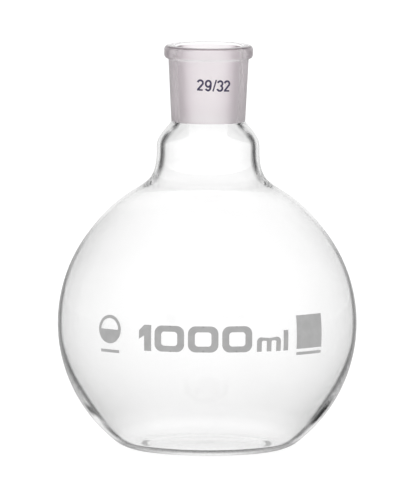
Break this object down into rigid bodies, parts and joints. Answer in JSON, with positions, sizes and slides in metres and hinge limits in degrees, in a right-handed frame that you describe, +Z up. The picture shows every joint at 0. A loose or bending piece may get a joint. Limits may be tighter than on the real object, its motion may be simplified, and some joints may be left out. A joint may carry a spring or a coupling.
{
  "type": "flat-bottom boiling flask",
  "caption": "Round clear glass boiling flask with a flat base, a short necked shoulder and a ground conical socket under a beaded rim.",
  "frame": {"origin": "centre of the base on the surface that the flask stands on", "axes": "+Z up along the flask's axis, -Y towards the side that carries the print, +X to the reader's right"},
  "size_m": [0.131, 0.1314, 0.1772],
  "materials": {
    "clear_glass": "clear borosilicate glass, fire polished",
    "ground_glass": "borosilicate glass, ground matt inside the bore",
    "grey_enamel": "fired screen-printed enamel, matt grey",
    "blue_enamel": "fired stamped enamel, blue-black"
  },
  "bodies": {
    "root": {"bulb": "clear_glass", "ground_socket": "ground_glass", "capacity_1": "grey_enamel", "capacity_0_first": "grey_enamel", "capacity_0_second": "grey_enamel", "capacity_0_third": "grey_enamel", "capacity_m": "grey_enamel", "capacity_l": "grey_enamel", "writing_patch": "grey_enamel", "patch_bar": "grey_enamel", "round_mark": "grey_enamel", "mark_bar": "grey_enamel", "joint_size_2_first": "blue_enamel", "joint_size_9": "blue_enamel", "joint_size_slash": "blue_enamel", "joint_size_3": "blue_enamel", "joint_size_2_last": "blue_enamel"}
  },
  "joints": []
}
